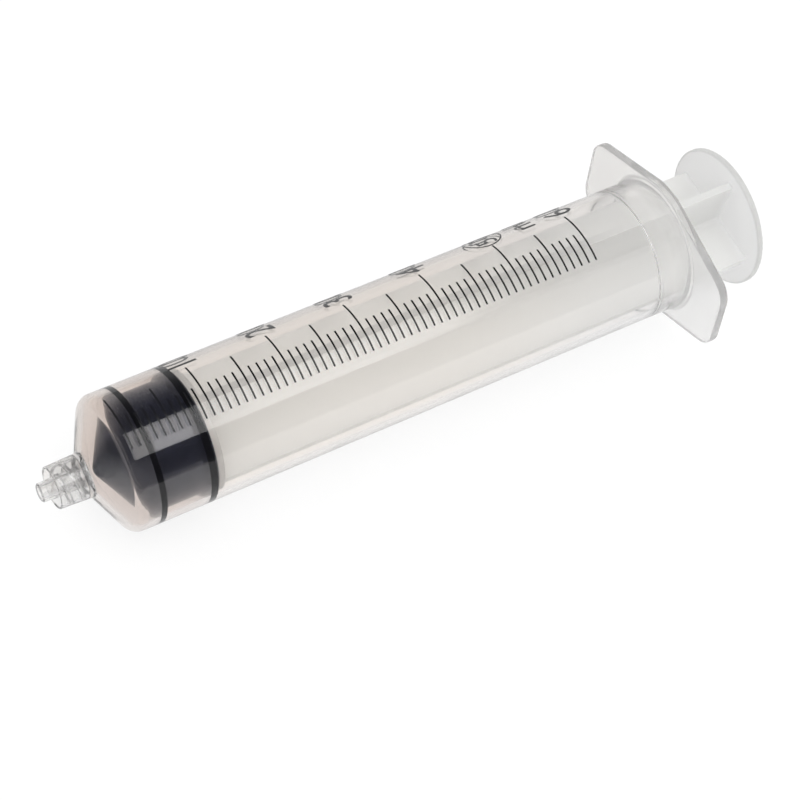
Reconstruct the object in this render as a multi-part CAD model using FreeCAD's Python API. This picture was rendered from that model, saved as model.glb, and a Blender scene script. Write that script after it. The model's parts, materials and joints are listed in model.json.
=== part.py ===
import FreeCAD, Part
import math
import os

# A 60 ml syringe with a luer lock nose, lying along +X with its plunger a few millimetres
# short of the nose. The origin is the centre of the luer tip's end, +X runs along the axis
# to the thumb disc, +Z is up and the finger flange is widest along Y. Sizes in millimetres.

# Barrel
BORE_DIAMETER = 26.7
BARREL_WALL = 1.2
NOSE_WALL = 1.4
NOSE_ANGLE = 28.0
SHOULDER_RADIUS = 2.6
INNER_SHOULDER_RADIUS = 1.8
MOUTH_CHAMFER = 0.6
BARREL_BEHIND_BEAD = 7.6

# Luer cone, and the lock collar round it
TIP_DIAMETER = 3.96
TIP_TAPER = 0.06
TIP_CHAMFER = 0.2
TIP_BORE_DIAMETER = 2.2
TIP_PROTRUSION = 2.6
COLLAR_LENGTH = 7.0
COLLAR_DEPTH = 6.3
COLLAR_DIAMETER = 8.9
COLLAR_BASE_DIAMETER = 9.5
COLLAR_BORE_DIAMETER = 8.0
COLLAR_CHAMFER = 0.25
COLLAR_ROOT_RADIUS = 0.7
COLLAR_FLOOR_RADIUS = 0.3

# Finger flange, its widths measured between the sharp corners before they are rounded
FLANGE_LENGTH = 49.1
FLANGE_HEIGHT = 32.4
FLANGE_END_WIDTH = 17.25
FLANGE_FLAT = 5.46
FLANGE_THICKNESS = 1.9
FLANGE_CORNER_RADIUS = 5.1
FLANGE_CROWN_RADIUS = 5.5
FLANGE_ROOT_RADIUS = 1.3
FLANGE_EDGE_RADIUS = 0.3

# Bead in the bore that holds the stopper in
BEAD_HEIGHT = 0.25
BEAD_WIDTH = 1.0
BEAD_MARGIN = 1.0

# Printed scale, its angles measured from +Z towards -Y
CAPACITY_ML = 60
INK_THICKNESS = 0.04
TICK_WIDTH = 0.38
TICK_LOW_ANGLE = 28.3
TICK_ANGLE_1_ML = 0.8
TICK_ANGLE_5_ML = -14.8
TICK_ANGLE_10_ML = -22.7
MAJOR_TICK_ML = 10
MIDDLE_TICK_ML = 5

# Rubber stopper
STOPPER_ANGLE = 30.0
STOPPER_TIP_RADIUS = 2.5
CONE_STEP = 0.85
WAIST_DEPTH = 1.15
STOPPER_LENGTH_BEHIND_CONE = 13.35
RIB_CLEARANCE = 0.03
RIB_FLANK = 0.45
RIB_REAR_FLANK = 0.7
FRONT_RIB_WIDTH = 1.3
REAR_RIB_WIDTH = 1.6
STOPPER_REAR_CHAMFER = 0.4
STOPPER_WALL = 2.4
STOPPER_ROOF = 2.6
STOPPER_LIP = 3.0

# Plunger rod
HEAD_CLEARANCE = 0.15
HEAD_HOOK = 1.3
HEAD_FRONT_RADIUS = 0.6
HEAD_BACK_RADIUS = 0.5
ROD_DISC_CLEARANCE = 0.45
ROD_DISC_THICKNESS = 1.5
ROD_DISC_EDGE = 0.3
ROD_RIB_CLEARANCE = 1.05
RIB_THICKNESS = 1.6
RIB_ROOT_RADIUS = 1.2
ROD_TURN = 8.6
THUMB_DIAMETER = 31.0
THUMB_THICKNESS = 1.4
THUMB_EDGE_RADIUS = 0.4
THUMB_STANDOFF = 12.4

# Where the plunger stands: how far it is drawn back, and its gap to the nose when pushed home
PLUNGER_DRAWN = 2.8
SEAT_GAP = 0.3

# Length by which cutting shapes pass the face they cut, and the distance taken as no distance
CUT_OVERRUN = 1.0
NO_DISTANCE = 1e-6

# Radii worked out from the diameters
bore_radius = BORE_DIAMETER / 2
barrel_radius = bore_radius + BARREL_WALL
tip_radius = TIP_DIAMETER / 2
tip_bore_radius = TIP_BORE_DIAMETER / 2
collar_radius = COLLAR_DIAMETER / 2
collar_base_radius = COLLAR_BASE_DIAMETER / 2
collar_bore_radius = COLLAR_BORE_DIAMETER / 2
cone_radius = bore_radius - CONE_STEP
waist_radius = bore_radius - WAIST_DEPTH
rib_radius = bore_radius - RIB_CLEARANCE
head_radius = waist_radius - STOPPER_WALL
rod_disc_radius = bore_radius - ROD_DISC_CLEARANCE
rod_rib_reach = bore_radius - ROD_RIB_CLEARANCE
thumb_radius = THUMB_DIAMETER / 2
nose_slope = math.tan(math.radians(NOSE_ANGLE))
stopper_slope = math.tan(math.radians(STOPPER_ANGLE))

# Stations along the axis, from the tip to the thumb disc
collar_front = TIP_PROTRUSION
collar_floor = collar_front + COLLAR_DEPTH
nose_start = collar_front + COLLAR_LENGTH
shoulder = nose_start + (barrel_radius - collar_base_radius) * nose_slope
nose_inside_apex = (nose_start - collar_base_radius * nose_slope
                    + NOSE_WALL / math.cos(math.radians(NOSE_ANGLE)))
bore_start = nose_inside_apex + bore_radius * nose_slope
home_apex = nose_inside_apex + SEAT_GAP
stopper_apex = home_apex + PLUNGER_DRAWN
stopper_shoulder = stopper_apex + cone_radius * stopper_slope
stopper_rear = stopper_shoulder + STOPPER_LENGTH_BEHIND_CONE
rear_rib_end = stopper_rear - STOPPER_REAR_CHAMFER
scale_zero = stopper_shoulder - PLUNGER_DRAWN + RIB_FLANK
ml_step = 1000 / (math.pi * bore_radius ** 2)
full_travel = CAPACITY_ML * ml_step
bead_start = rear_rib_end - PLUNGER_DRAWN + full_travel + BEAD_MARGIN
flange_front = bead_start + BARREL_BEHIND_BEAD
barrel_end = flange_front + FLANGE_THICKNESS
rod_disc_end = stopper_rear + ROD_DISC_THICKNESS
thumb_front = barrel_end + THUMB_STANDOFF + PLUNGER_DRAWN


def point(x, r):
    return FreeCAD.Vector(x, 0, r)


def line(a, b):
    return Part.LineSegment(a, b).toShape()


def arc(a, middle, b):
    return Part.Arc(a, middle, b).toShape()


def revolved(edges):
    """Turn a closed outline in the XZ plane once round the X axis."""
    face = Part.Face(Part.Wire(edges))
    return face.revolve(FreeCAD.Vector(0, 0, 0), FreeCAD.Vector(1, 0, 0), 360)


def rounded_outline(corners, radii):
    """Closed outline through the corners, each rounded with its own radius, 0 for a sharp one."""
    count = len(corners)
    starts = []
    ends = []
    middles = []
    for i in range(count):
        corner = corners[i]
        before = (corners[i - 1] - corner).normalize()
        after = (corners[(i + 1) % count] - corner).normalize()
        half = before.getAngle(after) / 2
        reach = radii[i] / math.tan(half)
        towards_centre = (before + after).normalize()
        centre = corner + towards_centre * (radii[i] / math.sin(half))
        starts.append(corner + before * reach)
        ends.append(corner + after * reach)
        middles.append(centre - towards_centre * radii[i])
    edges = []
    for i in range(count):
        if radii[i] > 0:
            edges.append(arc(starts[i], middles[i], ends[i]))
        following = starts[(i + 1) % count]
        if ends[i].distanceToPoint(following) > NO_DISTANCE:
            edges.append(line(ends[i], following))
    return edges


def barrel_outside():
    """Nose, collar and tube, solid inside, up to the flange's rear face."""
    tube_end = barrel_end - FLANGE_EDGE_RADIUS
    root_top = barrel_radius + FLANGE_ROOT_RADIUS
    corners = [
        point(collar_front, 0),
        point(collar_front, collar_radius),
        point(nose_start, collar_base_radius),
        point(shoulder, barrel_radius),
        point(flange_front, barrel_radius),
        point(flange_front, root_top),
        point(tube_end, root_top),
        point(tube_end, 0),
    ]
    radii = [0, COLLAR_CHAMFER, COLLAR_ROOT_RADIUS, SHOULDER_RADIUS, FLANGE_ROOT_RADIUS, 0, 0, 0]
    return revolved(rounded_outline(corners, radii))


def collar_recess():
    """Ring-shaped space between the luer cone and the collar's wall."""
    root_radius = tip_radius + collar_floor * TIP_TAPER / 2
    ring_start = collar_front - CUT_OVERRUN
    front_radius = collar_bore_radius + COLLAR_CHAMFER
    ring = [
        point(ring_start, tip_radius + ring_start * TIP_TAPER / 2),
        point(collar_floor, root_radius),
        point(collar_floor, collar_bore_radius),
        point(collar_front + COLLAR_CHAMFER, collar_bore_radius),
        point(collar_front, front_radius),
        point(ring_start, front_radius),
    ]
    return revolved(rounded_outline(ring, [0, COLLAR_FLOOR_RADIUS, COLLAR_FLOOR_RADIUS, 0, 0, 0]))


def luer_cone():
    """Tapered tip that the mating hub seats on, let into the collar's floor."""
    root = collar_floor + NOSE_WALL / 2
    corners = [
        point(0, 0),
        point(0, tip_radius - TIP_CHAMFER),
        point(TIP_CHAMFER, tip_radius + TIP_CHAMFER * TIP_TAPER / 2),
        point(root, tip_radius + root * TIP_TAPER / 2),
        point(root, 0),
    ]
    return revolved(rounded_outline(corners, [0, 0, 0, 0, 0]))


def space_before_bead():
    """Tip bore and nose cone, rounded into the bore."""
    tip_meets_nose = nose_inside_apex + tip_bore_radius * nose_slope
    corners = [
        point(-CUT_OVERRUN, 0),
        point(-CUT_OVERRUN, tip_bore_radius),
        point(tip_meets_nose, tip_bore_radius),
        point(bore_start, bore_radius),
        point(bead_start, bore_radius),
        point(bead_start, 0),
    ]
    return revolved(rounded_outline(corners, [0, 0, 0, INNER_SHOULDER_RADIUS, 0, 0]))


def space_behind_bead():
    """Bore from the bead to the open mouth, the bead arching into it."""
    bead_end = bead_start + BEAD_WIDTH
    beyond = barrel_end + MOUTH_CHAMFER
    bead_top = point(bead_start + BEAD_WIDTH / 2, bore_radius - BEAD_HEIGHT)
    path = [
        point(bead_end, bore_radius),
        point(barrel_end - MOUTH_CHAMFER, bore_radius),
        point(beyond, bore_radius + 2 * MOUTH_CHAMFER),
        point(beyond, 0),
        point(bead_start, 0),
        point(bead_start, bore_radius),
    ]
    edges = [line(a, b) for a, b in zip(path, path[1:])]
    edges.append(arc(path[-1], bead_top, path[0]))
    return revolved(edges)


def flange_outline(x):
    """Two tapering ears with rounded ends, and a flat at the top and bottom to rest on."""
    ear_y = FLANGE_LENGTH / 2
    ear_z = FLANGE_END_WIDTH / 2
    flat_y = FLANGE_FLAT / 2
    flat_z = FLANGE_HEIGHT / 2
    corners = [
        FreeCAD.Vector(x, ear_y, -ear_z),
        FreeCAD.Vector(x, ear_y, ear_z),
        FreeCAD.Vector(x, flat_y, flat_z),
        FreeCAD.Vector(x, -flat_y, flat_z),
        FreeCAD.Vector(x, -ear_y, ear_z),
        FreeCAD.Vector(x, -ear_y, -ear_z),
        FreeCAD.Vector(x, -flat_y, -flat_z),
        FreeCAD.Vector(x, flat_y, -flat_z),
    ]
    ear = FLANGE_CORNER_RADIUS
    crown = FLANGE_CROWN_RADIUS
    return Part.Wire(rounded_outline(corners, [ear, ear, crown, crown, ear, ear, crown, crown]))


def flange():
    plate = Part.Face(flange_outline(flange_front)).extrude(FreeCAD.Vector(FLANGE_THICKNESS, 0, 0))
    rim = [edge for edge in plate.Edges if edge.BoundBox.XLength < FLANGE_THICKNESS / 2]
    return plate.makeFillet(FLANGE_EDGE_RADIUS, rim)


def barrel():
    outside = barrel_outside().fuse(flange())
    nose = outside.cut(collar_recess()).fuse(luer_cone())
    return nose.cut(space_before_bead().fuse(space_behind_bead())).removeSplitter()


def tick(ml):
    """One graduation line, printed round the barrel."""
    upper = TICK_ANGLE_1_ML
    if ml % MAJOR_TICK_ML == 0:
        upper = TICK_ANGLE_10_ML
    elif ml % MIDDLE_TICK_ML == 0:
        upper = TICK_ANGLE_5_ML
    x = scale_zero + ml * ml_step - TICK_WIDTH / 2
    section = Part.makePlane(TICK_WIDTH, INK_THICKNESS, FreeCAD.Vector(x, 0, barrel_radius),
                             FreeCAD.Vector(0, -1, 0), FreeCAD.Vector(1, 0, 0))
    axis = FreeCAD.Vector(1, 0, 0)
    start = FreeCAD.Vector(0, 0, 0)
    section.rotate(start, axis, upper)
    return section.revolve(start, axis, TICK_LOW_ANGLE - upper)


def scale_print():
    return Part.makeCompound([tick(ml) for ml in range(CAPACITY_ML + 1)])


def stopper_section():
    """Outline of the rubber: cone, two sealing ribs, waist, and the hollow for the rod's head."""
    alpha = math.radians(STOPPER_ANGLE)
    ball_centre = stopper_apex + STOPPER_TIP_RADIUS / math.cos(alpha)
    tip = point(ball_centre - STOPPER_TIP_RADIUS, 0)
    tangent = point(ball_centre - STOPPER_TIP_RADIUS * math.cos(alpha),
                    STOPPER_TIP_RADIUS * math.sin(alpha))
    half_way = point(ball_centre - STOPPER_TIP_RADIUS * math.cos(alpha / 2),
                     STOPPER_TIP_RADIUS * math.sin(alpha / 2))
    front_rib = stopper_shoulder + RIB_FLANK
    rear_rib = rear_rib_end - REAR_RIB_WIDTH
    path = [
        tangent,
        point(stopper_shoulder, cone_radius),
        point(front_rib, rib_radius),
        point(front_rib + FRONT_RIB_WIDTH, rib_radius),
        point(front_rib + FRONT_RIB_WIDTH + RIB_REAR_FLANK, waist_radius),
        point(rear_rib - RIB_REAR_FLANK, waist_radius),
        point(rear_rib, rib_radius),
        point(rear_rib_end, rib_radius),
        point(stopper_rear, rib_radius - STOPPER_REAR_CHAMFER),
        point(stopper_rear, head_radius - HEAD_HOOK + HEAD_CLEARANCE),
        point(stopper_rear - STOPPER_LIP, head_radius - HEAD_HOOK + HEAD_CLEARANCE),
        point(stopper_rear - STOPPER_LIP, head_radius + HEAD_CLEARANCE),
        point(head_cone_start(), head_radius + HEAD_CLEARANCE),
        point(head_cone_start() - (head_radius + HEAD_CLEARANCE) * stopper_slope, 0),
        tip,
    ]
    edges = [arc(tip, half_way, tangent)]
    edges += [line(a, b) for a, b in zip(path, path[1:])]
    return edges


def head_cone_start():
    """Where the hollow's wall turns into its conical roof, under the full rubber thickness."""
    roof = STOPPER_ROOF / math.cos(math.radians(STOPPER_ANGLE))
    return stopper_apex + roof + (head_radius + HEAD_CLEARANCE) * stopper_slope


def stopper():
    return revolved(stopper_section())


def rod_head():
    """Head that snaps into the stopper, and the disc that backs the rubber."""
    neck = head_radius - HEAD_HOOK
    hook = stopper_rear - STOPPER_LIP - HEAD_CLEARANCE
    cone_start = head_cone_start() + HEAD_CLEARANCE
    corners = [
        point(cone_start - head_radius * stopper_slope, 0),
        point(cone_start, head_radius),
        point(hook, head_radius),
        point(hook, neck),
        point(stopper_rear, neck),
        point(stopper_rear, rod_disc_radius),
        point(rod_disc_end, rod_disc_radius),
        point(rod_disc_end, 0),
    ]
    radii = [0, HEAD_FRONT_RADIUS, HEAD_BACK_RADIUS, 0, 0, ROD_DISC_EDGE, ROD_DISC_EDGE, 0]
    return revolved(rounded_outline(corners, radii))


def cross_ribs():
    """Four ribs in a cross, with rounded roots, from the front disc to the thumb disc."""
    half = RIB_THICKNESS / 2
    inner = half + RIB_ROOT_RADIUS
    start = rod_disc_end - ROD_DISC_EDGE
    edges = []
    for quarter in range(4):
        angle = math.radians(90 * quarter)

        def at(y, z, angle=angle):
            return FreeCAD.Vector(start, y * math.cos(angle) - z * math.sin(angle),
                                  y * math.sin(angle) + z * math.cos(angle))

        sag = inner - RIB_ROOT_RADIUS * math.cos(math.pi / 4)
        edges.append(line(at(rod_rib_reach, -half), at(rod_rib_reach, half)))
        edges.append(line(at(rod_rib_reach, half), at(inner, half)))
        edges.append(arc(at(inner, half), at(sag, sag), at(half, inner)))
        edges.append(line(at(half, inner), at(half, rod_rib_reach)))
    cross = Part.Face(Part.Wire(edges))
    length = thumb_front - start + THUMB_EDGE_RADIUS
    return cross.extrude(FreeCAD.Vector(length, 0, 0))


def thumb_disc():
    corners = [
        point(thumb_front, 0),
        point(thumb_front, thumb_radius),
        point(thumb_front + THUMB_THICKNESS, thumb_radius),
        point(thumb_front + THUMB_THICKNESS, 0),
    ]
    return revolved(rounded_outline(corners, [0, THUMB_EDGE_RADIUS, THUMB_EDGE_RADIUS, 0]))


def plunger_rod():
    rod = rod_head().fuse(cross_ribs()).fuse(thumb_disc()).removeSplitter()
    rod.rotate(FreeCAD.Vector(0, 0, 0), FreeCAD.Vector(1, 0, 0), ROD_TURN)
    return rod


os.makedirs("parts", exist_ok=True)
barrel().exportStep("parts/barrel.step")
scale_print().exportStep("parts/scale_print.step")
stopper().exportStep("parts/stopper.step")
plunger_rod().exportStep("parts/plunger_rod.step")
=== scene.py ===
import json
import math

import bpy
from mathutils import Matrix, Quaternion, Vector


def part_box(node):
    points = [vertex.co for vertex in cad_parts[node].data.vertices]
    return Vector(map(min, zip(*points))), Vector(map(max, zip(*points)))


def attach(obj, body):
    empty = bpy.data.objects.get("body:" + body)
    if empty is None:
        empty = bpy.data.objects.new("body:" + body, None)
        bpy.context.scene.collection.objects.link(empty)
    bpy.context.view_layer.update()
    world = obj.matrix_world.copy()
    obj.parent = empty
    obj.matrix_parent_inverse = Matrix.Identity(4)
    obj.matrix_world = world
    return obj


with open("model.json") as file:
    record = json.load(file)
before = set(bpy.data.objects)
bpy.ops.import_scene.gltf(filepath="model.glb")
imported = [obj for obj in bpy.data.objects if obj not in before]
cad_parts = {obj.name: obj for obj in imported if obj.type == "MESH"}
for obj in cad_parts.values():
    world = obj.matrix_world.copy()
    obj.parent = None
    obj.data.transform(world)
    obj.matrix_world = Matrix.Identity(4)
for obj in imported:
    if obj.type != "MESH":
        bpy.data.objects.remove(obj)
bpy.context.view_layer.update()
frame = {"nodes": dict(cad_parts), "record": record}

bl_info = {
    "name": "Luer Lock Syringe",
    "version": (1, 0, 0),
    "blender": (4, 5, 0),
    "location": "View3D > Sidebar > Syringe",
    "description": "Dresses the solids of a 60 ml luer lock syringe with print, lock thread and finishes",
    "category": "Object",
}

# The solids' own sizes, from the loaded frame, and the file for the boxes. Lengths are in metres
SCALE_LOW, SCALE_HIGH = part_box("scale_print")
BARREL_LOW, BARREL_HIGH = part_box("barrel")
GRIP = next(m for m in frame["record"]["mounts"] if m["name"] == "barrel_grip")
BARREL_RADIUS = GRIP["dims"]["r_mm"] / 1000

# The scale: its end and the step of its numbers, the width of a line, its zero and one millilitre's length
CAPACITY_ML = 60
NUMBERED_ML = 10
TICK_WIDTH = 0.00038
ZERO_X = SCALE_LOW.x + TICK_WIDTH / 2
STEP_X = (SCALE_HIGH.x - TICK_WIDTH / 2 - ZERO_X) / CAPACITY_ML

# What counts as one point and as a real edge, and how finely the drawn pieces are divided
SAME_POINT = 1e-7
REAL_EDGE_ANGLE = math.radians(30)
SMOOTH_ANGLE = math.radians(35)
LARGEST_FACE_WEIGHT = 100
THREAD_STARTS = 2
THREAD_STEPS = 240
THREAD_SECTION_SIDES = 4
BAND_SEGMENTS = 160
BAND_EDGE_SHARE = 0.25
BAND_EDGE_SEGMENTS = 2
RING_SEGMENTS = 96
LETTER_CURVE_STEPS = 4
LETTER_STRIP = 0.0005

# Heights of a digit and of a small letter as shares of the typeface's size
DIGIT_FACE = 0.691
SMALL_LETTER_FACE = 0.458

# Stretches along the axis over which the barrel's plastic changes, and over which its tint changes, darker
# and warmer towards the nose as painted shade
COLLAR_FLOOR = (0.0090, 0.0105)
UNDER_STOPPER = (0.028, 0.036)
REAR_OF_TUBE = (0.080, 0.140)
TOWARDS_FLANGE = (0.134, 0.1445)
FLANGE_ROOT = (0.1405, 0.1445)
BEAD_FRONT = (0.1362, 0.1372)
BEAD_REAR = (0.1384, 0.1394)

# Stretches along the axis, heights over it and radii round it over which the rod's colour changes, as
# painted shade on the upper rib's edge, the rod's end and the thumb disc's rim
BEHIND_FRONT_DISC = (0.0340, 0.0345)
ROD_END = (0.110, 0.145)
THUMB_DISC = (0.1600, 0.1625)
RIB_EDGE_HEIGHT = (0.01185, 0.01200)
DISC_RIM_RADIUS = (0.0149, 0.0153)

# Grain as scale, least and most roughness, or share of the haze on the barrel. Ripple as scale and height.
# Mottle as scale and detail, and how many times as pale as the plain colour it gets
HAZE_GRAIN = (180.0, 0.8, 1.2)
BARREL_RIPPLE = (90.0, 0.00002)
ROD_GRAIN = (300.0, 0.32, 0.42)
ROD_RIPPLE = (500.0, 0.00001)
RUBBER_GRAIN_SCALE = 250.0
RUBBER_RIPPLE = (2500.0, 0.000002)
RUBBER_MOTTLE = (400.0, 4.0)
RUBBER_PALER = 1.5
INK_GRAIN = (900.0, 0.15, 0.30)
INK_MOTTLE = (1500.0, 4.0)
INK_PALER = 2.2

# Optics of the plastics, the rubber and the ink
POLYPROPYLENE_IOR = 1.49
MILK_COLOUR = (0.98, 0.98, 0.98)
ROD_CLEAR_SHARE = 0.45
ROD_GLOW_SHARE = 0.35
ROD_SHADOW = (0.45, 0.45, 0.45)
NO_SHADOW = (1, 1, 1)
RUBBER_GLOSS_TINT = (0.76, 0.86, 1.0, 1)
WHITE = (1, 1, 1)

# The floor, the place along the axis where the nose lies on it, and its zones along and across the barrel
FLOOR_SIZE = 8
NOSE_FOOT = 0.016
DIM_BEFORE_NOSE = (-0.10, -0.01)
DIM_FAR_AHEAD = (-0.45, -0.30)
BACKDROP_START = (0.005, 0.020)
BACKDROP_PAST_NOSE = (0.030, 0.045)
BACKDROP_TO_FLANGE = (0.130, 0.155)

# The room's zones, by direction. A path's depth is a whole number, so its threshold lies halfway
BACKDROP_DIRECTION = (0.4, 0.35, -1)
BACKDROP_SPREAD = (-0.60, 0.20)
BACKDROP_FALL = 2.0
AHEAD_SPREAD = (-0.97, -0.85)
ONE_BOUNCE = 0.5
TWO_BOUNCES = 1.5

# The camera: sensor in millimetres, near and far limits in metres
SENSOR_WIDTH = 36
NEAR_LIMIT = 0.01
FAR_LIMIT = 20


class SyringePrint(bpy.types.PropertyGroup):
    """Numbers and unit sign printed beside the scale"""

    digit_height: bpy.props.FloatProperty(
        name="Digit height", description="Height of the numbers, along the barrel",
        default=0.0063, min=0.001, unit="LENGTH", subtype="DISTANCE")
    digit_narrowing: bpy.props.FloatProperty(
        name="Digit narrowing", description="Width of the numbers as a share of the plain typeface's",
        default=0.78, min=0.3, max=2.0, subtype="FACTOR")
    digit_spacing: bpy.props.FloatProperty(
        name="Digit spacing", description="Space between the digits of a number, 1 for the plain typeface's",
        default=1.38, min=0.5, max=3.0)
    digit_start: bpy.props.FloatProperty(
        name="Number start", description="Angle round the barrel, from the top, at which the numbers begin",
        default=math.radians(28.0), unit="ROTATION", subtype="ANGLE")
    ringed_ml: bpy.props.IntProperty(
        name="Ringed number", description="Number that stands in a ring, in millilitres", default=50)
    ringed_height: bpy.props.FloatProperty(
        name="Ringed digit height", description="Height of the digits inside the ring",
        default=0.0046, min=0.001, unit="LENGTH", subtype="DISTANCE")
    ringed_narrowing: bpy.props.FloatProperty(
        name="Ringed digit narrowing",
        description="Width of the ringed digits as a share of the plain typeface's",
        default=1.0, min=0.3, max=2.0, subtype="FACTOR")
    ringed_spacing: bpy.props.FloatProperty(
        name="Ringed digit spacing",
        description="Space between the ringed digits, 1 for the plain typeface's",
        default=1.10, min=0.5, max=3.0)
    ring_diameter: bpy.props.FloatProperty(
        name="Ring diameter", description="Outer diameter of the ring round the nominal capacity",
        default=0.0086, min=0.001, unit="LENGTH", subtype="DISTANCE")
    ring_line: bpy.props.FloatProperty(
        name="Ring line", description="Width of the ring's line",
        default=0.00035, min=0.00005, unit="LENGTH", subtype="DISTANCE")
    ring_angle: bpy.props.FloatProperty(
        name="Ring angle", description="Angle round the barrel, from the top, of the ring's centre",
        default=math.radians(40.7), unit="ROTATION", subtype="ANGLE")
    unit_sign: bpy.props.StringProperty(
        name="Unit sign", description="Unit printed near the scale's end", default="ml")
    unit_x: bpy.props.FloatProperty(
        name="Unit line", description="Place along the barrel of the foot of the unit sign",
        default=0.1176, unit="LENGTH", subtype="DISTANCE")
    unit_size: bpy.props.FloatProperty(
        name="Unit size", description="Height of the unit sign's small letters",
        default=0.0034, min=0.0005, unit="LENGTH", subtype="DISTANCE")
    ink_height: bpy.props.FloatProperty(
        name="Ink height", description="How far the ink stands out of the plastic",
        default=0.00003, min=0.0, unit="LENGTH", subtype="DISTANCE")
    ink_depth: bpy.props.FloatProperty(
        name="Ink depth", description="How far the ink reaches into the plastic",
        default=0.00003, min=0.0, unit="LENGTH", subtype="DISTANCE")


class SyringeLock(bpy.types.PropertyGroup):
    """Two-start thread inside the lock collar"""

    root_radius: bpy.props.FloatProperty(
        name="Root radius", description="Radius of the collar's bore, which the thread stands on",
        default=0.0040, min=0.001, unit="LENGTH", subtype="DISTANCE")
    crest_radius: bpy.props.FloatProperty(
        name="Crest radius", description="Inner radius of the thread",
        default=0.0035, min=0.001, unit="LENGTH", subtype="DISTANCE")
    lead: bpy.props.FloatProperty(
        name="Lead", description="Advance of one thread in one turn",
        default=0.0050, min=0.0005, unit="LENGTH", subtype="DISTANCE")
    root_width: bpy.props.FloatProperty(
        name="Root width", description="Width of the thread where it leaves the bore",
        default=0.0010, min=0.0001, unit="LENGTH", subtype="DISTANCE")
    crest_width: bpy.props.FloatProperty(
        name="Crest width", description="Width of the thread at its inner edge",
        default=0.0003, min=0.0001, unit="LENGTH", subtype="DISTANCE")
    start_x: bpy.props.FloatProperty(
        name="Start", description="Place along the axis at which the thread begins",
        default=0.0035, unit="LENGTH", subtype="DISTANCE")
    length: bpy.props.FloatProperty(
        name="Length", description="Length of the threaded stretch",
        default=0.0046, min=0.0005, unit="LENGTH", subtype="DISTANCE")
    sink: bpy.props.FloatProperty(
        name="Sink", description="How far the thread's root reaches into the collar's wall",
        default=0.00004, min=0.0, unit="LENGTH", subtype="DISTANCE")


class SyringeSeal(bpy.types.PropertyGroup):
    """Bands of the stopper's ribs that are pressed on the bore"""

    band_radius: bpy.props.FloatProperty(
        name="Band radius", description="Outer radius of the pressed bands, just inside the barrel's wall",
        default=0.01338, min=0.001, unit="LENGTH", subtype="DISTANCE")
    band_depth: bpy.props.FloatProperty(
        name="Band depth", description="Thickness of a band into the rib",
        default=0.00030, min=0.00005, unit="LENGTH", subtype="DISTANCE")
    front_x: bpy.props.FloatProperty(
        name="Front band", description="Place along the axis of the front band's front edge",
        default=0.01943, unit="LENGTH", subtype="DISTANCE")
    front_width: bpy.props.FloatProperty(
        name="Front width", description="Width of the front band",
        default=0.00130, min=0.0001, unit="LENGTH", subtype="DISTANCE")
    rear_x: bpy.props.FloatProperty(
        name="Rear band", description="Place along the axis of the rear band's front edge",
        default=0.03033, unit="LENGTH", subtype="DISTANCE")
    rear_width: bpy.props.FloatProperty(
        name="Rear width", description="Width of the rear band",
        default=0.00160, min=0.0001, unit="LENGTH", subtype="DISTANCE")


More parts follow.
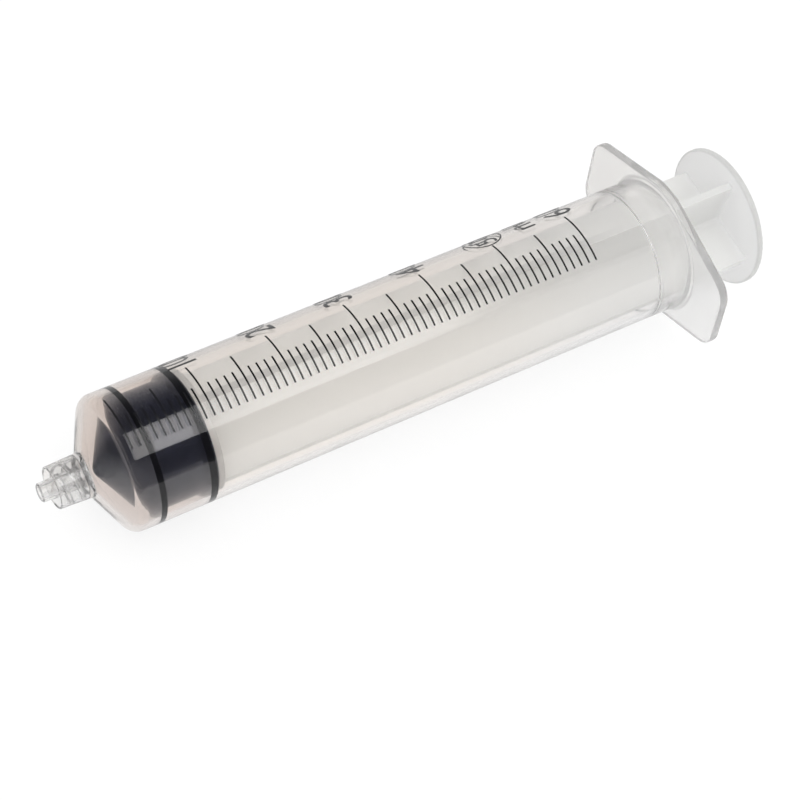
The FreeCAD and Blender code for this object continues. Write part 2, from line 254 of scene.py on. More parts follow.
class SyringeFinish(bpy.types.PropertyGroup):
    """Colours and finishes, with painted shade on the nose, the rib's edge, the rod's end and the thumb
    disc's rim
    """

    collar_colour: bpy.props.FloatVectorProperty(
        name="Collar", description="Tint of the lock collar and the luer cone", subtype="COLOR", size=3,
        default=(0.96, 0.955, 0.95), min=0.0, max=1.0)
    # Painted shade: the nose's tint is darker and warmer, for the syringe's own shadow on the floor seen
    # through it
    nose_colour: bpy.props.FloatVectorProperty(
        name="Nose", description="Tint of the barrel's nose", subtype="COLOR", size=3,
        default=(0.87, 0.815, 0.785), min=0.0, max=1.0)
    tube_colour: bpy.props.FloatVectorProperty(
        name="Tube", description="Tint of the barrel behind the stopper", subtype="COLOR", size=3,
        default=(0.985, 0.96, 0.935), min=0.0, max=1.0)
    flange_colour: bpy.props.FloatVectorProperty(
        name="Flange", description="Tint of the barrel's flange end", subtype="COLOR", size=3,
        default=(0.972, 0.965, 0.96), min=0.0, max=1.0)
    nose_haze: bpy.props.FloatProperty(
        name="Nose haze", description="Blur of what is seen through the nose",
        default=0.04, min=0.0, max=1.0, subtype="FACTOR")
    tube_haze: bpy.props.FloatProperty(
        name="Tube haze", description="Blur of what is seen through the tube",
        default=0.08, min=0.0, max=1.0, subtype="FACTOR")
    flange_haze: bpy.props.FloatProperty(
        name="Flange haze", description="Blur of what is seen through the flange",
        default=0.24, min=0.0, max=1.0, subtype="FACTOR")
    bead_haze: bpy.props.FloatProperty(
        name="Bead haze", description="Blur of what is seen through the bead near the barrel's mouth",
        default=0.22, min=0.0, max=1.0, subtype="FACTOR")
    collar_milk: bpy.props.FloatProperty(
        name="Collar milk", description="Milkiness of the lock collar and the luer cone",
        default=0.10, min=0.0, max=1.0, subtype="FACTOR")
    flange_milk: bpy.props.FloatProperty(
        name="Flange milk", description="Milkiness of the flange",
        default=0.24, min=0.0, max=1.0, subtype="FACTOR")
    milky_colour: bpy.props.FloatVectorProperty(
        name="Rod", description="Colour of the milky plunger rod", subtype="COLOR", size=3,
        default=(0.942, 0.942, 0.932), min=0.0, max=1.0)
    # Painted shade: the upper rib's narrow edge is darker where it is seen on end
    rib_edge_colour: bpy.props.FloatVectorProperty(
        name="Rib's edge", description="Colour of the upper rib's narrow edge inside the barrel",
        subtype="COLOR", size=3, default=(0.76, 0.76, 0.755), min=0.0, max=1.0)
    # Painted shade: the rod is darker towards its end, outside the barrel
    rod_end_colour: bpy.props.FloatVectorProperty(
        name="Rod's end", description="Colour of the rod between the flange and the thumb disc",
        subtype="COLOR", size=3, default=(0.90, 0.90, 0.89), min=0.0, max=1.0)
    disc_colour: bpy.props.FloatVectorProperty(
        name="Thumb disc", description="Colour of the thin thumb disc", subtype="COLOR", size=3,
        default=(0.965, 0.965, 0.965), min=0.0, max=1.0)
    # Painted shade: the thumb disc's rim is darker than its face
    disc_rim_colour: bpy.props.FloatVectorProperty(
        name="Thumb disc's rim", description="Colour of the thumb disc's rim", subtype="COLOR", size=3,
        default=(0.74, 0.74, 0.73), min=0.0, max=1.0)
    rubber_colour: bpy.props.FloatVectorProperty(
        name="Rubber", description="Colour of the stopper", subtype="COLOR", size=3,
        default=(0.0075, 0.0088, 0.0170), min=0.0, max=1.0)
    pressed_colour: bpy.props.FloatVectorProperty(
        name="Pressed rubber", description="Colour of the ribs where they are wetted on the bore",
        subtype="COLOR", size=3, default=(0.003, 0.003, 0.005), min=0.0, max=1.0)
    ink_colour: bpy.props.FloatVectorProperty(
        name="Ink", description="Colour of the print", subtype="COLOR", size=3,
        default=(0.004, 0.004, 0.005), min=0.0, max=1.0)


class SyringeStage(bpy.types.PropertyGroup):
    """Camera, soft box, room and floor"""

    camera_place: bpy.props.FloatVectorProperty(
        name="Camera", description="Where the camera stands", size=3, unit="LENGTH", subtype="XYZ",
        default=(-0.11281, -0.25627, 0.40044))
    camera_target: bpy.props.FloatVectorProperty(
        name="Target", description="Point in the middle of the picture", size=3, unit="LENGTH",
        subtype="XYZ", default=(0.07709, -0.00879, -0.00536))
    camera_roll: bpy.props.FloatProperty(
        name="Roll", description="Turn of the camera about its own view line",
        default=math.radians(8.62), unit="ROTATION", subtype="ANGLE")
    camera_lens: bpy.props.FloatProperty(
        name="Lens", description="Focal length in millimetres on a 36 mm sensor", default=111.99)
    lamp_angle: bpy.props.FloatProperty(
        name="Lamp angle", description="Lean of the soft box from overhead towards the camera's side",
        default=math.radians(19.4), unit="ROTATION", subtype="ANGLE")
    lamp_distance: bpy.props.FloatProperty(
        name="Lamp distance", description="Height of the soft box over the axis",
        default=0.60, min=0.1, unit="LENGTH", subtype="DISTANCE")
    lamp_x: bpy.props.FloatProperty(
        name="Lamp place", description="Middle of the soft box along the axis",
        default=0.22, unit="LENGTH", subtype="DISTANCE")
    lamp_width: bpy.props.FloatProperty(
        name="Lamp width", description="Width of the soft box across the barrel",
        default=0.485, min=0.01, unit="LENGTH", subtype="DISTANCE")
    lamp_length: bpy.props.FloatProperty(
        name="Lamp length", description="Length of the soft box along the barrel",
        default=0.34, min=0.01, unit="LENGTH", subtype="DISTANCE")
    lamp_fade: bpy.props.FloatProperty(
        name="Lamp fade", description="Length of the soft box's far end over which it grows dim",
        default=0.055, min=0.001, unit="LENGTH", subtype="DISTANCE")
    lamp_power: bpy.props.FloatProperty(
        name="Lamp power", description="Power of the soft box in watts", default=1.2, min=0.0)
    room_light: bpy.props.FloatProperty(
        name="Room light", description="Brightness of the room above the floor, as it lights the object",
        default=1.42, min=0.0)
    room_dark: bpy.props.FloatProperty(
        name="Room overhead", description="Brightness of the room overhead, as gloss mirrors it",
        default=0.08, min=0.0)
    room_bright: bpy.props.FloatProperty(
        name="Backdrop", description="Brightness of the low backdrop behind, as gloss mirrors it",
        default=0.75, min=0.0)
    room_trapped: bpy.props.FloatProperty(
        name="Room in the wall",
        description="Brightness of the room as light that is trapped in the plastic sees it",
        default=0.7, min=0.0)
    shade_by_nose: bpy.props.FloatVectorProperty(
        name="Backdrop by the nose", description="Tone of the backdrop seen through the nose",
        subtype="COLOR", size=3, default=(0.88, 0.855, 0.83), min=0.0, max=1.0)
    shade_by_tube: bpy.props.FloatVectorProperty(
        name="Backdrop by the tube", description="Tone of the backdrop seen through the tube",
        subtype="COLOR", size=3, default=(0.74, 0.71, 0.69), min=0.0, max=1.0)
    floor_colour: bpy.props.FloatVectorProperty(
        name="Floor", description="Colour of the floor", subtype="COLOR", size=3,
        default=(0.93, 0.93, 0.93), min=0.0, max=1.0)
    floor_white: bpy.props.FloatProperty(
        name="Floor white", description="Share of plain white in the floor, the rest being lit and shaded",
        default=0.82, min=0.0, max=1.0, subtype="FACTOR")
    floor_before_nose: bpy.props.FloatProperty(
        name="Floor before the nose",
        description="Brightness of the floor beyond the nose, as gloss mirrors it",
        default=0.10, min=0.0, max=1.0, subtype="FACTOR")


def deselect_all():
    """Leave edit mode and deselect everything, as before each new primitive."""
    if bpy.context.object and bpy.context.object.mode != "OBJECT":
        bpy.ops.object.mode_set(mode="OBJECT")
    bpy.ops.object.select_all(action="DESELECT")


def only(obj):
    """Leave obj alone selected and active."""
    deselect_all()
    obj.select_set(True)
    bpy.context.view_layer.objects.active = obj
    return obj


def apply_modifier(obj, kind, **settings):
    """Add a modifier to obj, set it and apply it."""
    only(obj)
    bpy.ops.object.modifier_add(type=kind)
    modifier = obj.modifiers[-1]
    for key, value in settings.items():
        setattr(modifier, key, value)
    bpy.ops.object.modifier_apply(modifier=modifier.name)


def settle(obj, name, body, material):
    """Give a finished mesh its name, its material, its slot and the body that it rides on."""
    only(obj)
    bpy.ops.object.transform_apply(location=True, rotation=True, scale=True)
    obj.name = name
    obj.data.name = name
    obj.data.materials.clear()
    obj.data.materials.append(material)
    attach(obj, body)


def point_normals_out(obj):
    """Merge what coincides and turn every face outwards."""
    only(obj)
    bpy.ops.object.mode_set(mode="EDIT")
    bpy.ops.mesh.select_all(action="SELECT")
    bpy.ops.mesh.remove_doubles(threshold=SAME_POINT)
    bpy.ops.mesh.normals_make_consistent(inside=False)
    bpy.ops.object.mode_set(mode="OBJECT")


class Nodes:
    """The emptied node tree of a material, world or lamp, and a short way to add and join nodes."""

    def __init__(self, owner, output="ShaderNodeOutputMaterial"):
        owner.use_nodes = True
        self.tree = owner.node_tree
        self.tree.nodes.clear()
        self.output = self.add(output)
        self.place = self.add("ShaderNodeTexCoord").outputs["Object"]

    def add(self, kind, **settings):
        """New node of that kind, with its settings."""
        node = self.tree.nodes.new(kind)
        for key, value in settings.items():
            setattr(node, key, value)
        return node

    def join(self, source, target):
        """Link an output to an input."""
        self.tree.links.new(source, target)

    def feed(self, value, target):
        """Join another node's output to an input, or set the input to a number or colour."""
        if isinstance(value, bpy.types.NodeSocket):
            self.join(value, target)
        elif target.type == "RGBA":
            target.default_value = (*value, 1)
        else:
            target.default_value = value

    def noise(self, scale, detail=2.0):
        """Uneven value from 0 to 1 on the piece's own coordinates."""
        node = self.add("ShaderNodeTexNoise")
        node.inputs["Scale"].default_value = scale
        node.inputs["Detail"].default_value = detail
        self.join(self.place, node.inputs["Vector"])
        return node.outputs["Fac"]

    def grain(self, scale, low, high):
        """Uneven value between low and high."""
        return self.spread(self.noise(scale), low, high)

    def ripple(self, scale, height):
        """Normals of a slightly uneven surface."""
        node = self.add("ShaderNodeBump")
        node.inputs["Distance"].default_value = height
        self.join(self.noise(scale), node.inputs["Height"])
        return node.outputs["Normal"]

    def spread(self, source, low, high, start=0.0, end=1.0, kind="LINEAR"):
        """Map what lies between start and end onto low to high."""
        node = self.add("ShaderNodeMapRange", interpolation_type=kind)
        node.inputs["From Min"].default_value = start
        node.inputs["From Max"].default_value = end
        node.inputs["To Min"].default_value = low
        node.inputs["To Max"].default_value = high
        self.join(source, node.inputs["Value"])
        return node.outputs["Result"]

    def split(self, source):
        """The three parts of a place or direction."""
        node = self.add("ShaderNodeSeparateXYZ")
        self.join(source, node.inputs[0])
        return node.outputs

    def ease(self, source, stretch, low=0.0, high=1.0):
        """Value that passes smoothly from low to high while source passes over the stretch."""
        return self.spread(source, low, high, *stretch, "SMOOTHSTEP")

    def along(self, stretch, low=0.0, high=1.0):
        """Value that passes smoothly from low to high over a stretch of the axis."""
        return self.ease(self.split(self.place)["X"], stretch, low, high)

    def above(self, heights):
        """Value that passes from 0 to 1 between two heights over the axis."""
        return self.spread(self.split(self.place)["Z"], 0.0, 1.0, *heights)

    def from_axis(self, radii):
        """Value that passes from 0 to 1 between two radii round the axis."""
        flat = self.add("ShaderNodeVectorMath", operation="MULTIPLY")
        self.join(self.place, flat.inputs[0])
        flat.inputs[1].default_value = (0, 1, 1)
        radius = self.add("ShaderNodeVectorMath", operation="LENGTH")
        self.join(flat.outputs[0], radius.inputs[0])
        return self.spread(radius.outputs["Value"], 0.0, 1.0, *radii)

    def math(self, operation, first, second):
        """Result of an operation on two numbers."""
        node = self.add("ShaderNodeMath", operation=operation)
        self.feed(first, node.inputs[0])
        self.feed(second, node.inputs[1])
        return node.outputs[0]

    def blend(self, share, first, second):
        """Colour between first and second."""
        node = self.add("ShaderNodeMix", data_type="RGBA")
        colours = [socket for socket in node.inputs if socket.type == "RGBA"]
        self.feed(share, node.inputs[0])
        self.feed(first, colours[0])
        self.feed(second, colours[1])
        return next(socket for socket in node.outputs if socket.type == "RGBA")

    def between(self, share, first, second):
        """Number between first and second."""
        node = self.add("ShaderNodeMix", data_type="FLOAT")
        numbers = [socket for socket in node.inputs if socket.type == "VALUE"]
        for value, target in zip((share, first, second), numbers):
            self.feed(value, target)
        return node.outputs[0]

    def mix(self, share, first, second):
        """Shader between first and second."""
        node = self.add("ShaderNodeMixShader")
        self.feed(share, node.inputs[0])
        self.join(first, node.inputs[1])
        self.join(second, node.inputs[2])
        return node.outputs[0]

    def show(self, shader):
        """Make a shader the one that is seen."""
        self.join(shader, self.output.inputs["Surface"])

    def seen_straight(self, path):
        """1 on the rays that show what lies behind: the camera's own, and those through plastic."""
        return self.math("MAXIMUM", path.outputs["Is Camera Ray"], path.outputs["Is Transmission Ray"])

    def let_lamps_through(self, shader, tint):
        """Light reaches what stands behind the plastic, dimmed by the tint."""
        clear = self.add("ShaderNodeBsdfTransparent")
        self.feed(tint, clear.inputs["Color"])
        path = self.add("ShaderNodeLightPath")
        self.show(self.mix(path.outputs["Is Shadow Ray"], shader, clear.outputs[0]))


def clear_plastic(finish):
    """Polypropylene of the barrel: clear and glossy, hazier where the moulding is thick."""
    material = bpy.data.materials.new("clear_polypropylene")
    n = Nodes(material)
    plastic = n.add("ShaderNodeBsdfPrincipled")
    # The tint along the axis carries painted shade: darker and warmer at the nose, for the syringe's own
    # shadow on the floor seen through the wall
    tint = n.blend(n.along(COLLAR_FLOOR), finish.collar_colour, finish.nose_colour)
    tint = n.blend(n.along(UNDER_STOPPER), tint, finish.tube_colour)
    tint = n.blend(n.along(REAR_OF_TUBE), tint, finish.flange_colour)
    n.join(tint, plastic.inputs["Base Color"])
    haze = n.along(UNDER_STOPPER, finish.nose_haze, finish.tube_haze)
    haze = n.between(n.along(TOWARDS_FLANGE), haze, finish.flange_haze)
    at_bead = n.math("MULTIPLY", n.along(BEAD_FRONT), n.along(BEAD_REAR, 1.0, 0.0))
    haze = n.between(at_bead, haze, finish.bead_haze)
    n.join(n.math("MULTIPLY", haze, n.grain(*HAZE_GRAIN)), plastic.inputs["Roughness"])
    n.join(n.ripple(*BARREL_RIPPLE), plastic.inputs["Normal"])
    plastic.inputs["Transmission Weight"].default_value = 1.0
    plastic.inputs["IOR"].default_value = POLYPROPYLENE_IOR
    milk = n.add("ShaderNodeBsdfTranslucent")
    n.feed(MILK_COLOUR, milk.inputs["Color"])
    in_collar = n.along(COLLAR_FLOOR, finish.collar_milk, 0.0)
    in_flange = n.along(FLANGE_ROOT, 0.0, finish.flange_milk)
    share = n.math("ADD", in_collar, in_flange)
    n.let_lamps_through(n.mix(share, plastic.outputs[0], milk.outputs[0]), NO_SHADOW)
    return material


def milky_plastic(finish):
    """Unpigmented polypropylene of the rod: milky, satin, light passes it."""
    material = bpy.data.materials.new("milky_polypropylene")
    n = Nodes(material)
    # Painted shade on the thumb disc's rim
    disc = n.blend(n.from_axis(DISC_RIM_RADIUS), finish.disc_colour, finish.disc_rim_colour)
    # Painted shade on the upper rib's narrow edge behind the front disc, where it is seen on end
    edge = n.math("MULTIPLY", n.above(RIB_EDGE_HEIGHT), n.along(BEHIND_FRONT_DISC))
    rod = n.blend(edge, finish.milky_colour, finish.rib_edge_colour)
    # Painted shade: darker towards the rod's end, between the flange and the thumb disc
    rod = n.blend(n.along(ROD_END), rod, finish.rod_end_colour)
    colour = n.blend(n.along(THUMB_DISC), rod, disc)
    plastic = n.add("ShaderNodeBsdfPrincipled")
    n.join(colour, plastic.inputs["Base Color"])
    n.join(n.grain(*ROD_GRAIN), plastic.inputs["Roughness"])
    n.join(n.ripple(*ROD_RIPPLE), plastic.inputs["Normal"])
    plastic.inputs["Transmission Weight"].default_value = ROD_CLEAR_SHARE
    plastic.inputs["IOR"].default_value = POLYPROPYLENE_IOR
    glow = n.add("ShaderNodeBsdfTranslucent")
    n.join(colour, glow.inputs["Color"])
    n.let_lamps_through(n.mix(ROD_GLOW_SHARE, plastic.outputs[0], glow.outputs[0]), ROD_SHADOW)
    return material


def rubber_surface(name, colour, gloss, smooth, dull):
    """Black rubber with that share of gloss, its roughness between smooth and dull."""
    material = bpy.data.materials.new(name)
    n = Nodes(material)
    paler = [part * RUBBER_PALER for part in colour]
    shader = n.add("ShaderNodeBsdfPrincipled")
    n.join(n.blend(n.noise(*RUBBER_MOTTLE), colour, paler), shader.inputs["Base Color"])
    n.join(n.grain(RUBBER_GRAIN_SCALE, smooth, dull), shader.inputs["Roughness"])
    n.join(n.ripple(*RUBBER_RIPPLE), shader.inputs["Normal"])
    shader.inputs["Specular IOR Level"].default_value = gloss
    shader.inputs["Specular Tint"].default_value = RUBBER_GLOSS_TINT
    n.show(shader.outputs[0])
    return material


def rubber(finish):
    """Siliconed rubber, glossy where air lies over it."""
    return rubber_surface("siliconed_rubber", finish.rubber_colour, gloss=1.0, smooth=0.10, dull=0.18)


def pressed_rubber(finish):
    """Rubber wetted on the bore: no air gap, so hardly any gloss."""
    return rubber_surface("pressed_rubber", finish.pressed_colour, gloss=0.05, smooth=0.5, dull=0.7)


def ink(finish):
    """Screen-printed black ink, a little uneven."""
    material = bpy.data.materials.new("black_ink")
    n = Nodes(material)
    paler = [part * INK_PALER for part in finish.ink_colour]
    shader = n.add("ShaderNodeBsdfPrincipled")
    n.join(n.blend(n.noise(*INK_MOTTLE), finish.ink_colour, paler), shader.inputs["Base Color"])
    n.join(n.grain(*INK_GRAIN), shader.inputs["Roughness"])
    n.show(shader.outputs[0])
    return material


def finished(name, make):
    """The material of that name, made on first use."""
    return bpy.data.materials.get(name) or make(bpy.context.scene.syringe_finish)


def dress(node, material):
    """Put a material on a solid of the frame, and shade its faces evenly up to their real edges."""
    solid = frame["nodes"][node]
    for slot in solid.material_slots:
        slot.material = material
    solid.modifiers.new("joined_faces", "WELD").merge_threshold = SAME_POINT
    edges = solid.modifiers.new("real_edges", "EDGE_SPLIT")
    edges.split_angle = REAL_EDGE_ANGLE
    edges.use_edge_sharp = False
    shading = solid.modifiers.new("even_shading", "WEIGHTED_NORMAL")
    shading.mode = "FACE_AREA_WITH_ANGLE"
    shading.weight = LARGEST_FACE_WEIGHT


def lay_on_barrel(obj, x, angle):
    """Bend a flat mesh round the barrel: its X runs round from angle, its Y towards the nose."""
    for vertex in obj.data.vertices:
        u, v, w = vertex.co
        turn = angle + u / BARREL_RADIUS
        radius = BARREL_RADIUS + w
        vertex.co = (x - v, radius * math.sin(turn), radius * math.cos(turn))


def cut_across(obj, low, high, pitch):
    """Cut a flat mesh into strips across its X, so that it can bend."""
    only(obj)
    bpy.ops.object.mode_set(mode="EDIT")
    place = low + pitch
    while place < high:
        bpy.ops.mesh.select_all(action="SELECT")
        bpy.ops.mesh.bisect(plane_co=(place, 0, 0), plane_no=(1, 0, 0))
        place += pitch
    bpy.ops.object.mode_set(mode="OBJECT")


def printed_word(word, height, face_height, narrowing, spacing, settings):
    """Flat solid lettering of that height, its lower left corner at the origin."""
    deselect_all()
    bpy.ops.object.text_add(location=(0, 0, 0))
    text = bpy.context.object
    text.data.body = word
    text.data.size = height / face_height
    text.data.space_character = spacing
    text.data.resolution_u = LETTER_CURVE_STEPS
    text.data.extrude = (settings.ink_height + settings.ink_depth) / 2
    bpy.ops.object.convert(target="MESH")
    word_mesh = only(bpy.context.object)
    word_mesh.scale = (narrowing, 1, 1)
    bpy.ops.object.transform_apply(location=True, rotation=True, scale=True)
    low_x = min(v.co.x for v in word_mesh.data.vertices)
    for vertex in word_mesh.data.vertices:
        vertex.co.x -= low_x
        vertex.co.z += (settings.ink_height - settings.ink_depth) / 2
    return word_mesh


def word_width(obj):
    """How far a word reaches from its lower left corner."""
    return max(v.co.x for v in obj.data.vertices)


class SYRINGE_OT_barrel(bpy.types.Operator):
    """Clear plastic for the barrel"""

    bl_idname = "syringe.barrel"
    bl_label = "Barrel"

    def execute(self, context):
        dress("barrel", finished("clear_polypropylene", clear_plastic))
        return {"FINISHED"}


class SYRINGE_OT_lock_thread(bpy.types.Operator):
    """Two-start thread inside the lock collar"""

    bl_idname = "syringe.lock_thread"
    bl_label = "Lock thread"

    def ridge(self, lock):
        """One thread: a plane shaped to its section, wound along the axis and closed at its ends."""
        deselect_all()
        bpy.ops.mesh.primitive_plane_add(size=1, location=(0, 0, 0))
        ridge = bpy.context.object
        half_root, half_crest = lock.root_width / 2, lock.crest_width / 2
        foot = lock.root_radius + lock.sink
        corners = [(-half_root, 0, foot), (half_root, 0, foot),
                   (-half_crest, 0, lock.crest_radius), (half_crest, 0, lock.crest_radius)]
        for vertex, corner in zip(ridge.data.vertices, corners):
            vertex.co = Vector(corner) + Vector((lock.start_x, 0, 0))
        ridge.data.update()
        apply_modifier(ridge, "SCREW", axis="X", angle=2 * math.pi * (lock.length / lock.lead),
                       screw_offset=lock.length, iterations=1, steps=THREAD_STEPS,
                       render_steps=THREAD_STEPS)
        bpy.ops.object.mode_set(mode="EDIT")
        bpy.ops.mesh.select_all(action="SELECT")
        bpy.ops.mesh.fill_holes(sides=THREAD_SECTION_SIDES)
        bpy.ops.object.mode_set(mode="OBJECT")
        return ridge

    def execute(self, context):
        lock = context.scene.syringe_lock
        for start in range(THREAD_STARTS):
            ridge = self.ridge(lock)
            ridge.rotation_euler = (2 * math.pi * start / THREAD_STARTS, 0, 0)
            bpy.ops.object.transform_apply(location=True, rotation=True, scale=True)
            point_normals_out(ridge)
            bpy.ops.object.shade_smooth_by_angle(angle=SMOOTH_ANGLE)
            settle(ridge, f"lock_thread_{start + 1}", "barrel",
                   finished("clear_polypropylene", clear_plastic))
        return {"FINISHED"}


class SYRINGE_OT_scale_lines(bpy.types.Operator):
    """Black ink for the scale's lines"""

    bl_idname = "syringe.scale_lines"
    bl_label = "Scale lines"

    def execute(self, context):
        dress("scale_print", finished("black_ink", ink))
        return {"FINISHED"}


class SYRINGE_OT_scale_numbers(bpy.types.Operator):
    """Numbers at each ten millilitres, the nominal one in a ring, and the unit sign"""

    bl_idname = "syringe.scale_numbers"
    bl_label = "Scale numbers"

    def number(self, settings, ml):
        """Number at its line of the scale, smaller where it stands in the ring."""
        ringed = ml == settings.ringed_ml
        height = settings.ringed_height if ringed else settings.digit_height
        narrowing = settings.ringed_narrowing if ringed else settings.digit_narrowing
        spacing = settings.ringed_spacing if ringed else settings.digit_spacing
        word = printed_word(str(ml), height, DIGIT_FACE, narrowing, spacing, settings)
        width = word_width(word)
        cut_across(word, 0.0, width, LETTER_STRIP)
        angle = settings.digit_start
        if ringed:
            angle = settings.ring_angle - width / 2 / BARREL_RADIUS
        for vertex in word.data.vertices:
            vertex.co.y -= height / 2
        lay_on_barrel(word, ZERO_X + ml * STEP_X, angle)
        point_normals_out(word)
        settle(word, f"number_{ml}", "barrel", finished("black_ink", ink))

    def ring(self, settings):
        """Ring round the nominal capacity: a low open cylinder given the line's width inwards."""
        deselect_all()
        bpy.ops.mesh.primitive_cylinder_add(vertices=RING_SEGMENTS, radius=settings.ring_diameter / 2,
                                            depth=settings.ink_height + settings.ink_depth,
                                            end_fill_type="NOTHING")
        ring = bpy.context.object
        apply_modifier(ring, "SOLIDIFY", thickness=settings.ring_line, offset=-1)
        for vertex in ring.data.vertices:
            vertex.co.z += (settings.ink_height - settings.ink_depth) / 2
        lay_on_barrel(ring, ZERO_X + settings.ringed_ml * STEP_X, settings.ring_angle)
        point_normals_out(ring)
        settle(ring, "nominal_ring", "barrel", finished("black_ink", ink))

    def unit(self, settings):
        """Unit sign, in the plain typeface's own width and spacing."""
        word = printed_word(settings.unit_sign, settings.unit_size, SMALL_LETTER_FACE,
                            narrowing=1.0, spacing=1.0, settings=settings)
        cut_across(word, 0.0, word_width(word), LETTER_STRIP)
        lay_on_barrel(word, settings.unit_x, settings.digit_start)
        point_normals_out(word)
        settle(word, "unit_sign", "barrel", finished("black_ink", ink))

    def execute(self, context):
        settings = context.scene.syringe_print
        for ml in range(NUMBERED_ML, CAPACITY_ML + 1, NUMBERED_ML):
            self.number(settings, ml)
        self.ring(settings)
        self.unit(settings)
        return {"FINISHED"}


class SYRINGE_OT_stopper(bpy.types.Operator):
    """Rubber for the stopper, and the bands where its ribs are pressed on the bore"""

    bl_idname = "syringe.stopper"
    bl_label = "Stopper"

    def band(self, seal, name, x, width):
        """Thin ring round a rib: an open cylinder given its thickness and soft edges."""
        deselect_all()
        bpy.ops.mesh.primitive_cylinder_add(vertices=BAND_SEGMENTS, radius=seal.band_radius,
                                            depth=width, end_fill_type="NOTHING",
                                            location=(x + width / 2, 0, 0),
                                            rotation=(0, math.pi / 2, 0))
        band = bpy.context.object
        apply_modifier(band, "SOLIDIFY", thickness=seal.band_depth, offset=-1)
        apply_modifier(band, "BEVEL", width=seal.band_depth * BAND_EDGE_SHARE,
                       segments=BAND_EDGE_SEGMENTS)
        point_normals_out(band)
        bpy.ops.object.shade_smooth_by_angle(angle=SMOOTH_ANGLE)
        settle(band, name, "plunger", finished("pressed_rubber", pressed_rubber))

    def execute(self, context):
        seal = context.scene.syringe_seal
        dress("stopper", finished("siliconed_rubber", rubber))
        self.band(seal, "seal_band_front", seal.front_x, seal.front_width)
        self.band(seal, "seal_band_rear", seal.rear_x, seal.rear_width)
        return {"FINISHED"}


class SYRINGE_OT_plunger_rod(bpy.types.Operator):
    """Milky plastic for the plunger rod"""

    bl_idname = "syringe.plunger_rod"
    bl_label = "Plunger rod"

    def execute(self, context):
        dress("plunger_rod", finished("milky_polypropylene", milky_plastic))
        return {"FINISHED"}


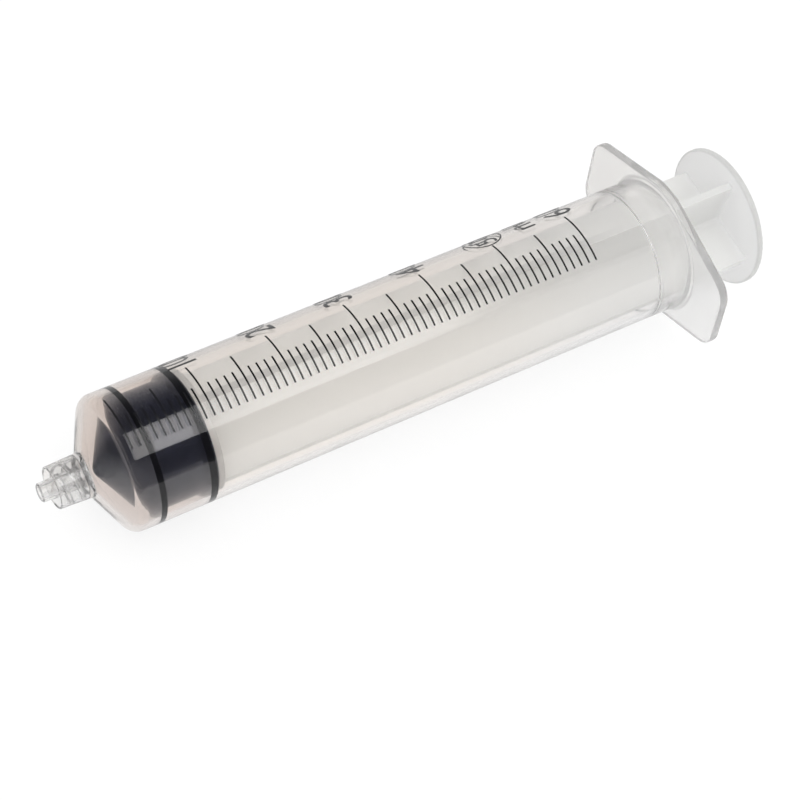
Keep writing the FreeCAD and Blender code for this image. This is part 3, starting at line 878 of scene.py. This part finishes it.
class SYRINGE_OT_stage(bpy.types.Operator):
    """Pale floor, soft box, room light and camera"""

    bl_idname = "syringe.stage"
    bl_label = "Stage"

    def pale_floor(self, stage):
        """Mostly plain white where it is seen, with darker zones as gloss mirrors it or plastic shows it."""
        material = bpy.data.materials.new("pale_floor")
        n = Nodes(material)
        lit = n.add("ShaderNodeBsdfDiffuse")
        n.feed(stage.floor_colour, lit.inputs["Color"])
        white = n.add("ShaderNodeEmission")
        path = n.add("ShaderNodeLightPath")
        by_gloss = n.math("GREATER_THAN", path.outputs["Glossy Depth"], ONE_BOUNCE)
        spot = n.split(n.add("ShaderNodeNewGeometry").outputs["Position"])
        near = n.ease(spot["X"], DIM_BEFORE_NOSE, stage.floor_before_nose, 1.0)
        far = n.ease(spot["X"], DIM_FAR_AHEAD, 1.0, 0.0)
        n.join(n.between(by_gloss, 1.0, n.math("MAXIMUM", near, far)), white.inputs["Strength"])
        through = n.math("MULTIPLY", n.ease(spot["Y"], BACKDROP_START),
                         path.outputs["Is Transmission Ray"])
        beside_tube = n.math("MULTIPLY", n.ease(spot["X"], BACKDROP_PAST_NOSE),
                             n.ease(spot["X"], BACKDROP_TO_FLANGE, 1.0, 0.0))
        shade = n.blend(beside_tube, stage.shade_by_nose, stage.shade_by_tube)
        n.join(n.blend(through, WHITE, shade), white.inputs["Color"])
        seen = n.math("MAXIMUM", n.seen_straight(path), path.outputs["Is Glossy Ray"])
        share = n.math("MULTIPLY", seen, stage.floor_white)
        n.show(n.mix(share, lit.outputs[0], white.outputs[0]))
        return material

    def floor(self, stage):
        """Plane under the flange's lower flat and the nose, which the syringe lies on."""
        deselect_all()
        flange_foot = BARREL_HIGH.x
        drop = -BARREL_LOW.z
        lean = math.atan2(drop - BARREL_RADIUS, flange_foot - NOSE_FOOT)
        bpy.ops.mesh.primitive_plane_add(size=FLOOR_SIZE, location=(flange_foot, 0, -drop),
                                         rotation=(0, lean, 0))
        floor = bpy.context.object
        floor.name = "floor"
        floor.data.materials.append(self.pale_floor(stage))

    def room(self, stage):
        """White where it is seen, and otherwise as bright as it lights or as gloss mirrors it."""
        world = bpy.data.worlds.new("studio")
        bpy.context.scene.world = world
        n = Nodes(world, "ShaderNodeOutputWorld")
        path = n.add("ShaderNodeLightPath")
        direction = n.add("ShaderNodeTexCoord").outputs["Generated"]
        towards = n.add("ShaderNodeVectorMath", operation="DOT_PRODUCT")
        n.join(direction, towards.inputs[0])
        towards.inputs[1].default_value = BACKDROP_DIRECTION
        low_behind = n.spread(towards.outputs["Value"], 0.0, 1.0, *BACKDROP_SPREAD)
        mirrored = n.spread(n.math("POWER", low_behind, BACKDROP_FALL), stage.room_dark,
                            stage.room_bright)
        ahead = n.spread(n.split(direction)["X"], stage.room_bright, 0.0, *AHEAD_SPREAD)
        mirrored = n.math("MAXIMUM", mirrored, ahead)
        undimmed = n.math("LESS_THAN", path.outputs["Diffuse Depth"], ONE_BOUNCE)
        plain = n.between(n.math("MULTIPLY", n.seen_straight(path), undimmed), stage.room_light, 1.0)
        once = n.math("GREATER_THAN", path.outputs["Glossy Depth"], ONE_BOUNCE)
        trapped = n.math("GREATER_THAN", path.outputs["Glossy Depth"], TWO_BOUNCES)
        background = n.add("ShaderNodeBackground")
        seen = n.between(trapped, n.between(once, plain, mirrored), stage.room_trapped)
        n.join(seen, background.inputs["Strength"])
        n.show(background.outputs[0])

    def lamp(self, stage):
        """Soft box overhead, dimmer towards its far end."""
        toward = Vector((0, -math.sin(stage.lamp_angle), math.cos(stage.lamp_angle)))
        bpy.ops.object.light_add(type="AREA", location=toward * stage.lamp_distance
                                 + Vector((stage.lamp_x, 0, 0)))
        lamp = bpy.context.object
        lamp.name = "soft_box"
        lamp.data.shape = "RECTANGLE"
        lamp.data.size = stage.lamp_length
        lamp.data.size_y = stage.lamp_width
        lamp.data.energy = stage.lamp_power
        lamp.rotation_euler = (stage.lamp_angle, 0, 0)
        n = Nodes(lamp.data, "ShaderNodeOutputLight")
        spot = n.split(n.add("ShaderNodeNewGeometry").outputs["Position"])
        far_end = stage.lamp_x + stage.lamp_length / 2
        fade = n.ease(spot["X"], (far_end - stage.lamp_fade, far_end), 1.0, 0.0)
        glow = n.add("ShaderNodeEmission")
        n.join(fade, glow.inputs["Strength"])
        n.show(glow.outputs[0])

    def camera(self, stage):
        """Camera at the photograph's viewing angle."""
        bpy.ops.object.camera_add(location=stage.camera_place)
        camera = bpy.context.object
        camera.name = "camera"
        ahead = (Vector(stage.camera_target) - Vector(stage.camera_place)).normalized()
        camera.rotation_mode = "QUATERNION"
        camera.rotation_quaternion = (ahead.to_track_quat("-Z", "Y")
                                      @ Quaternion((0, 0, 1), stage.camera_roll))
        camera.data.lens = stage.camera_lens
        camera.data.sensor_width = SENSOR_WIDTH
        camera.data.clip_start = NEAR_LIMIT
        camera.data.clip_end = FAR_LIMIT
        bpy.context.scene.camera = camera

    def execute(self, context):
        stage = context.scene.syringe_stage
        self.floor(stage)
        self.room(stage)
        self.lamp(stage)
        self.camera(stage)
        context.scene.view_settings.view_transform = "Standard"
        return {"FINISHED"}


class SYRINGE_PT_panel(bpy.types.Panel):
    """The syringe's parts, in the order in which they are made"""

    bl_idname = "SYRINGE_PT_panel"
    bl_label = "Luer Lock Syringe"
    bl_space_type = "VIEW_3D"
    bl_region_type = "UI"
    bl_category = "Syringe"

    def draw(self, context):
        for operator in OPERATORS:
            self.layout.operator(operator.bl_idname)
        for name, group in GROUPS.items():
            box = self.layout.box()
            box.label(text=group.__doc__)
            for key in group.__annotations__:
                box.prop(getattr(context.scene, name), key)


OPERATORS = (SYRINGE_OT_stage, SYRINGE_OT_barrel, SYRINGE_OT_lock_thread, SYRINGE_OT_scale_lines,
             SYRINGE_OT_scale_numbers, SYRINGE_OT_stopper, SYRINGE_OT_plunger_rod)
GROUPS = {"syringe_print": SyringePrint, "syringe_lock": SyringeLock, "syringe_seal": SyringeSeal,
          "syringe_finish": SyringeFinish, "syringe_stage": SyringeStage}


def register():
    """Register the classes, and hang the groups of settings on the scene."""
    for group in GROUPS.values():
        bpy.utils.register_class(group)
    for name, group in GROUPS.items():
        setattr(bpy.types.Scene, name, bpy.props.PointerProperty(type=group))
    for operator in OPERATORS:
        bpy.utils.register_class(operator)
    bpy.utils.register_class(SYRINGE_PT_panel)


def unregister():
    """Take off again what register put on."""
    bpy.utils.unregister_class(SYRINGE_PT_panel)
    for operator in reversed(OPERATORS):
        bpy.utils.unregister_class(operator)
    for name in GROUPS:
        delattr(bpy.types.Scene, name)
    for group in GROUPS.values():
        bpy.utils.unregister_class(group)


def main():
    """Build the dressed syringe."""
    register()
    bpy.ops.syringe.stage()
    bpy.ops.syringe.barrel()
    bpy.ops.syringe.lock_thread()
    bpy.ops.syringe.scale_lines()
    bpy.ops.syringe.scale_numbers()
    bpy.ops.syringe.stopper()
    bpy.ops.syringe.plunger_rod()


if __name__ == "__main__":
    main()
